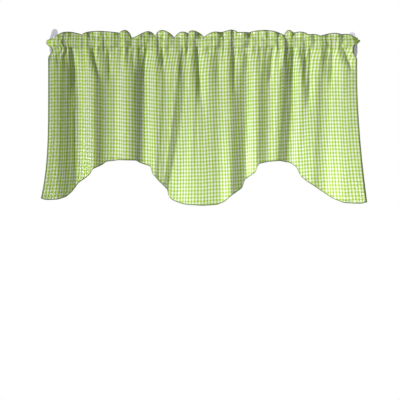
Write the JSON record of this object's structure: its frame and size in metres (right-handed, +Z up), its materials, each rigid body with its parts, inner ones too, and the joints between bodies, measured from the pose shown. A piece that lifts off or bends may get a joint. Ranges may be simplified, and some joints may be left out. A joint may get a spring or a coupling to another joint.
{
  "type": "window valance on a curtain rod with wall brackets",
  "caption": "Gathered rod-pocket window valance with a header ruffle and a scalloped hem, on a flat telescoping curtain rod held by wall brackets.",
  "frame": {"origin": "on the wall plane, midway between the brackets, at the height of the rod's middle", "axes": "+Z up, +Y into the wall that carries the brackets, +X to the right as seen from the room"},
  "size_m": [0.7944, 0.0658, 0.4329],
  "materials": {
    "gingham_cloth": "matt woven cotton, green and white check",
    "white_enamel": "satin white enamel"
  },
  "bodies": {
    "root": {"valance_cloth": "gingham_cloth", "rod_outer": "white_enamel", "rod_inner": "white_enamel", "bracket_left": "white_enamel", "bracket_right": "white_enamel"}
  },
  "joints": []
}
